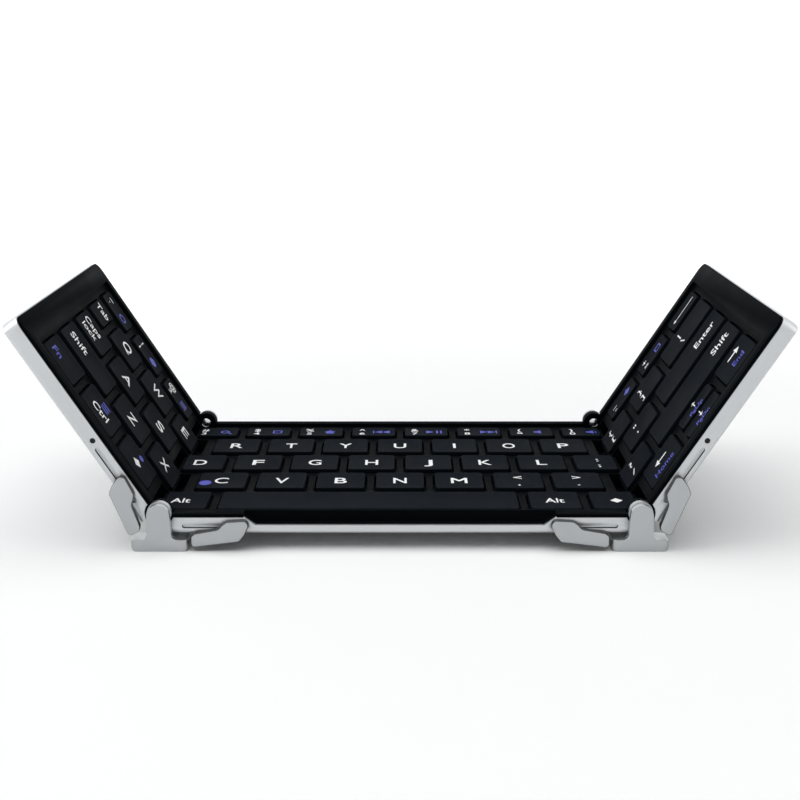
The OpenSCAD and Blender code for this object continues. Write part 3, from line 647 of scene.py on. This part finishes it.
def outline(*loops):
    """A shape from closed outlines of cap height 1."""
    points, faces = [], []
    for loop in loops:
        faces.append(tuple(range(len(points), len(points) + len(loop))))
        points.extend(loop)
    return points, faces


def bar(x, y, w, h):
    """Outline of a rectangle about a point."""
    left, right, low, high = x - w / 2, x + w / 2, y - h / 2, y + h / 2
    return [(left, low), (right, low), (right, high), (left, high)]


def circle(radius, count):
    """Outline of a circle."""
    angles = [i * 2 * math.pi / count for i in range(count)]
    return [(radius * math.cos(a), radius * math.sin(a)) for a in angles]


def ring_shape(outer, inner):
    """A circle drawn as a band of quads."""
    points, faces = [], []
    for spoke in zip(circle(outer, RING_POINTS), circle(inner, RING_POINTS)):
        points.extend(spoke)
    for i in range(RING_POINTS):
        j = (i + 1) % RING_POINTS
        faces.append((2 * i, 2 * j, 2 * j + 1, 2 * i + 1))
    return points, faces


def turned(shape, degrees):
    """A shape turned about its middle."""
    points, faces = shape
    c, s = math.cos(math.radians(degrees)), math.sin(math.radians(degrees))
    return [(x * c - y * s, x * s + y * c) for x, y in points], faces


def arrow(tip, neck, tail, half_head, half_shaft):
    """An arrow that points left."""
    return outline([
        (tip, 0), (neck, -half_head), (neck, -half_shaft), (tail, -half_shaft),
        (tail, half_shaft), (neck, half_shaft), (neck, half_head),
    ])


def lens():
    """A ring with a handle, for a search key."""
    points, faces = ring_shape(0.42, 0.27)
    handle = [(0.28, -0.4), (0.42, -0.28), (0.72, -0.6), (0.58, -0.7)]
    return points + handle, faces + [tuple(range(len(points), len(points) + len(handle)))]


def shifted(loop, dx):
    """An outline moved along x."""
    return [(x + dx, y) for x, y in loop]


ARROW = arrow(tip=-0.62, neck=-0.2, tail=0.58, half_head=0.36, half_shaft=0.075)
DISC = circle(0.5, DOT_POINTS)
PLAY = [(-0.32, -0.42), (0.38, 0), (-0.32, 0.42)]
PLAY_BACK = [(-x, y) for x, y in PLAY][::-1]
HORN = [(-0.32, -0.2), (0.1, -0.5), (0.1, 0.5), (-0.32, 0.2)]
MAGNET = bar(-0.45, 0, 0.26, 0.4)
SHAPES = {
    "arrow_left": ARROW,
    "arrow_right": turned(ARROW, 180),
    "arrow_up": turned(ARROW, -90),
    "arrow_down": turned(ARROW, 90),
    "long_arrow": arrow(tip=-1.9, neck=-1.45, tail=1.95, half_head=0.34, half_shaft=0.07),
    "dot": outline(DISC),
    "oval": outline([(OVAL_WIDTH * x, y) for x, y in DISC]),
    "ring": ring_shape(0.5, 0.34),
    "lens": lens(),
    "square": outline(
        bar(0, 0.36, 0.86, 0.15), bar(0, -0.36, 0.86, 0.15),
        bar(-0.36, 0, 0.15, 0.57), bar(0.36, 0, 0.15, 0.57),
    ),
    "house": outline([(-0.55, 0), (0.55, 0), (0, 0.5)], bar(0, -0.25, 0.7, 0.48)),
    "diamond": outline([(-0.5, 0), (0, -0.5), (0.5, 0), (0, 0.5)]),
    "back": outline(
        shifted(PLAY_BACK, -0.36), shifted(PLAY_BACK, 0.36), bar(-0.84, 0, 0.12, 0.84),
    ),
    "play_pause": outline(
        shifted(PLAY, -0.5), bar(0.2, 0, 0.17, 0.84), bar(0.56, 0, 0.17, 0.84),
    ),
    "forward": outline(shifted(PLAY, -0.36), shifted(PLAY, 0.36), bar(0.84, 0, 0.12, 0.84)),
    "quiet": outline(MAGNET, HORN),
    "louder": outline(MAGNET, HORN, bar(0.32, 0, 0.12, 0.5), bar(0.58, 0, 0.12, 0.8)),
    "bars": outline(bar(0, 0.36, 0.9, 0.16), bar(0, 0, 0.9, 0.16), bar(0, -0.36, 0.9, 0.16)),
    "home_bar": outline(bar(0, 0, 0.95, 0.12)),
    "M": outline([
        (-0.53, -0.5), (-0.35, -0.5), (-0.35, 0.2), (0, -0.16), (0.35, 0.2), (0.35, -0.5),
        (0.53, -0.5), (0.53, 0.5), (0.36, 0.5), (0, 0.1), (-0.36, 0.5), (-0.53, 0.5),
    ]),
}


def letters(signs, dx=0.0, dy=0.0, size=BIG):
    """Keys with one white sign each, at the same place from their middles."""
    return [[("white", sign, dx, dy, size)] for sign in signs.split()]


def pair(upper, lower, dx=0.0, size=PAIR, rise=2.6 * MM):
    """Two white signs, one above the other."""
    return [("white", upper, dx, rise, size), ("white", lower, dx, -rise, size)]


def number(upper, lower, mark, shift=0.0):
    """A number key: two small white signs at the left and a blue mark at the right."""
    signs = pair(upper, lower, shift - NUMBER_LEFT, SMALL, NUMBER_RISE)
    return signs + [("blue", mark, shift + NUMBER_RIGHT, 0, MARK)]


# For each node, its keys from left to right: (ink, sign, x and y from the cap's
# middle, cap height or the shape's unit). A sign is a name in SHAPES or a plain text.
# The signs keep to the even key grid, so on the narrow keys beside a fold they stand
# off centre.
HOME_BAR = ("black", "home_bar", 0, -4.3 * MM, 2.4 * MM)
BLUE_OVAL = ("blue", "oval", -4.7 * MM, -1.9 * MM, 4.1 * MM)
LEGENDS = {
    "centre_number_keys": [
        number("#", "3", "lens", -OUT), number("$", "4", "square"), number("%", "5", "house"),
        number("^", "6", "back"), number("&", "7", "play_pause"), number("*", "8", "forward"),
        number("(", "9", "quiet"), number(")", "0", "louder", OUT),
    ],
    "centre_top_row_keys": letters("R T Y U I O P"),
    "centre_home_row_keys": (
        letters("D", -1.3 * MM) + [letters("F")[0] + [HOME_BAR]] + letters("G H")
        + [letters("J")[0] + [HOME_BAR]] + letters("K L") + [pair(":", ";", OUT)]
    ),
    "centre_bottom_row_keys": (
        [letters("C", -0.3 * MM)[0] + [BLUE_OVAL]] + letters("V B N M")
        + [pair("<", ","), pair(">", ".")]
    ),
    "centre_alt_keys": (
        letters("Alt", -1.6 * MM, size=WORD) + letters("Alt", size=WORD)
        + letters("diamond", OUT, size=MARK)
    ),
    "space_bar": [[]],
    "left_number_keys": [
        number("~", "`", "ring"), number("!", "1", "dot"), number("@", "2", "bars"),
    ],
    "tab_key": letters("Tab", dy=1.8 * MM, size=3.1 * MM),
    "left_top_row_keys": letters("Q", dy=1.4 * MM) + letters("W", dy=0.9 * MM) + letters("E"),
    "caps_lock_key": [pair("Caps", "lock", -1.4 * MM, 3.0 * MM, 2.3 * MM)],
    "left_home_row_keys": letters("A S"),
    "left_shift_key": letters("Shift", dx=-4.9 * MM, dy=0.6 * MM, size=WORD),
    "left_bottom_row_keys": letters("Z X"),
    "left_modifier_keys": [
        [("blue", "Fn", -2.8 * MM, -1.2 * MM, WORD)],
        [("white", "Ctrl", 0, -0.9 * MM, WORD), ("blue", "bars", 0.5 * MM, 3.3 * MM, 3.6 * MM)],
        [("white", "diamond", 0, -0.9 * MM, MARK), ("blue", "dot", 0.4 * MM, 3.4 * MM, TINY)],
    ],
    "right_number_keys": [number("_", "-", "diamond"), number("+", "=", "square")],
    "backspace_key": [[("white", "long_arrow", 0.2 * MM, 0, 2.7 * MM)]],
    "right_top_row_keys": [
        pair("{", "[", WING_PAIR), pair("}", "]", WING_PAIR), pair("|", "\\", WING_PAIR),
    ],
    "quote_key": [pair('"', "'", END_PAIR)],
    "enter_key": letters("Enter", dx=7.4 * MM, dy=0.3 * MM, size=WORD),
    "slash_key": [pair("?", "/", END_PAIR)],
    "right_shift_key": letters("Shift", dx=12.8 * MM, dy=1.2 * MM, size=WORD),
    "left_right_arrow_keys": [
        [
            ("white", "arrow_left", 0, 1.9 * MM, BIG_ARROW),
            ("blue", "Home", 0, -3.0 * MM, BLUE_WORD),
        ],
        [
            ("white", "arrow_right", 0.6 * MM, 3.4 * MM, BIG_ARROW),
            ("blue", "End", 0.7 * MM, -1.4 * MM, BLUE_WORD),
        ],
    ],
    "up_arrow_key": [[
        ("white", "arrow_up", 0, 1.75 * MM, HALF_KEY_ARROW),
        ("blue", "PgUp", 0, -1.2 * MM, HALF_KEY_WORD),
    ]],
    "down_arrow_key": [[
        ("white", "arrow_down", 0, 1.6 * MM, HALF_KEY_ARROW),
        ("blue", "PgDn", 0, -1.4 * MM, HALF_KEY_WORD),
    ]],
}
INKS = {"white": WHITE_INK, "blue": BLUE_INK, "black": KEY_BLACK}
INK_INDEX = {name: index for index, name in enumerate(INKS)}


def add_sign(bm, key, to_row, mark):
    """Prints one sign on a cap as a thin raised layer that follows the dish."""
    ink_name, sign, dx, dy, size = mark
    points, faces = SHAPES[sign] if sign in SHAPES else text(sign)
    verts = []
    for x, y in points:
        px, py = dx + x * size, dy + y * size
        spot = Vector((key.x + px, key.y + py, key.surface(py) + INK_RISE))
        verts.append(bm.verts.new(to_row @ spot))
    for corners in faces:
        face = bm.faces.new([verts[i] for i in corners])
        face.material_index = INK_INDEX[ink_name]


def add_legends(node, keys, to_row):
    """All signs of a node's keys as one piece."""
    bm = bmesh.new()
    for key, marks in zip(keys, LEGENDS[node]):
        for mark in marks:
            add_sign(bm, key, to_row, mark)
    up = to_row.to_3x3() @ Vector((0, 0, 1))
    bm.normal_update()
    for face in bm.faces:
        if face.normal.dot(up) < 0:
            face.normal_flip()
    thick = bmesh.ops.extrude_face_region(bm, geom=bm.faces[:])
    for part in thick["geom"]:
        if isinstance(part, bmesh.types.BMVert):
            part.co += up * INK_RISE
    bmesh.ops.translate(bm, verts=bm.verts, vec=-up * INK_RISE)
    bmesh.ops.recalc_face_normals(bm, faces=bm.faces)
    name = node.replace("_keys", "").replace("_key", "") + "_legends"
    new_object(name, mesh_from(bm, name), INKS.values(), node)


def add_keys(node):
    """The caps and the signs of one node's keys."""
    to_row = PANELS[panel_of_key(node)]
    keys = keys_of(node)
    for count, key in enumerate(keys, 1):
        name = f"{node}_cap_{count}"
        new_object(name, cap_mesh(name, key, to_row), [KEY_BLACK], node, [node])
    if any(LEGENDS[node]):
        add_legends(node, keys, to_row)


for key_node in LEGENDS:
    add_keys(key_node)


# --------------------------------------------------------------------- studio
FLOOR_COLOUR = (0.925, 0.93, 0.93)
FLOOR_ROUGHNESS = 0.9
GLOW_MIDDLE = (0, -0.25, 0)         # a place on the floor in front of the keyboard
GLOW_FROM, GLOW_TO = 0.34, 0.85     # distances from there between which the floor turns white
GLOW_LEAST, GLOW_MOST = 0.005, 0.62     # its glow at these distances

FLOOR_HALF_W = 3.0
FLOOR_FRONT = -3.0
BACKDROP_Y = 1.6
BACKDROP_TOP = 2.4
BACKDROP_BEND = 0.8
BEND_STEPS = 12

LAMP_AIM = Vector((0, 0, 0.03))
SOFTBOX_SIDE = 0.6


def looking_rays(tree):
    """1 for the rays that look at a surface or see it mirrored, 0 for those that only light."""
    path = tree.nodes.new("ShaderNodeLightPath")
    value = path.outputs["Is Camera Ray"]
    for ray in ("Is Glossy Ray", "Is Transmission Ray"):
        either = tree.nodes.new("ShaderNodeMath")
        either.operation = "MAXIMUM"
        tree.links.new(value, either.inputs[0])
        tree.links.new(path.outputs[ray], either.inputs[1])
        value = either.outputs["Value"]
    return value


def floor_material():
    """White floor that keeps the shadow and shows white to the camera and to reflections."""
    material = new_material("studio_white", FLOOR_COLOUR, FLOOR_ROUGHNESS)
    tree = material.node_tree
    shader = tree.nodes["Principled BSDF"]
    shader.inputs["Specular IOR Level"].default_value = 0.0
    away = tree.nodes.new("ShaderNodeVectorMath")
    away.operation = "DISTANCE"
    away.inputs[1].default_value = GLOW_MIDDLE
    tree.links.new(object_coords(tree), away.inputs[0])
    glow = tree.nodes.new("ShaderNodeMapRange")
    glow.interpolation_type = "SMOOTHSTEP"
    glow.inputs["From Min"].default_value = GLOW_FROM
    glow.inputs["From Max"].default_value = GLOW_TO
    glow.inputs["To Min"].default_value = GLOW_LEAST
    glow.inputs["To Max"].default_value = GLOW_MOST
    tree.links.new(away.outputs["Value"], glow.inputs["Value"])
    lift = tree.nodes.new("ShaderNodeMath")
    lift.operation = "MULTIPLY"
    tree.links.new(glow.outputs["Result"], lift.inputs[1])
    tree.links.new(looking_rays(tree), lift.inputs[0])
    shader.inputs["Emission Color"].default_value = (1, 1, 1, 1)
    tree.links.new(lift.outputs["Value"], shader.inputs["Emission Strength"])
    return material


def make_floor():
    """A wide floor that curves up into a backdrop behind the keyboard."""
    bend_start = BACKDROP_Y - BACKDROP_BEND
    profile = [(FLOOR_FRONT, 0.0), (bend_start, 0.0)]
    for step in range(1, BEND_STEPS + 1):
        a = step * math.pi / 2 / BEND_STEPS
        profile.append((
            bend_start + BACKDROP_BEND * math.sin(a), BACKDROP_BEND - BACKDROP_BEND * math.cos(a),
        ))
    profile.append((BACKDROP_Y, BACKDROP_TOP))
    bm = bmesh.new()
    rows = [
        [bm.verts.new((x, y, z)) for x in (-FLOOR_HALF_W, FLOOR_HALF_W)] for y, z in profile
    ]
    for low, high in zip(rows, rows[1:]):
        bm.faces.new((low[0], low[1], high[1], high[0]))
    mesh = mesh_from(bm, "studio_floor")
    smooth(mesh)
    mesh.materials.append(floor_material())
    floor = bpy.data.objects.new("studio_floor", mesh)
    bpy.context.scene.collection.objects.link(floor)


def make_softbox(name, place, power):
    """A wide square lamp that points at the keyboard."""
    lamp = bpy.data.lights.new(name, "AREA")
    lamp.shape = "RECTANGLE"
    lamp.size = lamp.size_y = SOFTBOX_SIDE
    lamp.energy = power
    holder = bpy.data.objects.new(name, lamp)
    holder.location = place
    aim = LAMP_AIM - Vector(place)
    holder.rotation_euler = aim.to_track_quat("-Z", "Y").to_euler()
    bpy.context.scene.collection.objects.link(holder)


def make_sun(name, towards, degrees_wide, strength):
    """Even soft light from a wide patch of the sky."""
    lamp = bpy.data.lights.new(name, "SUN")
    lamp.angle = math.radians(degrees_wide)
    lamp.energy = strength
    holder = bpy.data.objects.new(name, lamp)
    holder.rotation_euler = Vector(towards).to_track_quat("Z", "Y").to_euler()
    bpy.context.scene.collection.objects.link(holder)


def make_world(strength, seen):
    """White surroundings, brighter where they are seen or mirrored than as a light."""
    world = bpy.data.worlds.new("studio_world")
    world.use_nodes = True
    background = world.node_tree.nodes["Background"]
    background.inputs["Color"].default_value = (1, 1, 1, 1)
    lift = world.node_tree.nodes.new("ShaderNodeMapRange")
    lift.inputs["To Min"].default_value = strength
    lift.inputs["To Max"].default_value = seen
    world.node_tree.links.new(looking_rays(world.node_tree), lift.inputs["Value"])
    world.node_tree.links.new(lift.outputs["Result"], background.inputs["Strength"])
    bpy.context.scene.world = world


make_floor()
make_sun("top_light", towards=(-0.12, 0.15, 1.0), degrees_wide=80, strength=2.42)
make_softbox("left_softbox", place=(-0.95, -0.15, 0.5), power=3.0)
make_softbox("right_softbox", place=(0.95, -0.15, 0.5), power=1.3)
make_world(strength=0.17, seen=0.9)

# --------------------------------------------------------------------- camera
CAMERA_DISTANCE = 354.0 * MM
CAMERA_HEIGHT = 126.7 * MM
CAMERA_PITCH = 15.45                # degrees below the horizon
CAMERA_LENS = 56.62                 # focal length and sensor width, in millimetres
CAMERA_SENSOR = 36
NEAREST, FARTHEST = 0.01, 20        # the range that the camera can see, in metres

camera_data = bpy.data.cameras.new("photo_camera")
camera_data.lens = CAMERA_LENS
camera_data.sensor_width = CAMERA_SENSOR
camera_data.clip_start = NEAREST
camera_data.clip_end = FARTHEST
camera = bpy.data.objects.new("photo_camera", camera_data)
camera.location = (0, -CAMERA_DISTANCE, CAMERA_HEIGHT)
camera.rotation_euler = (math.radians(90 - CAMERA_PITCH), 0, 0)
bpy.context.scene.collection.objects.link(camera)
bpy.context.scene.camera = camera
bpy.context.scene.view_settings.view_transform = "Standard"
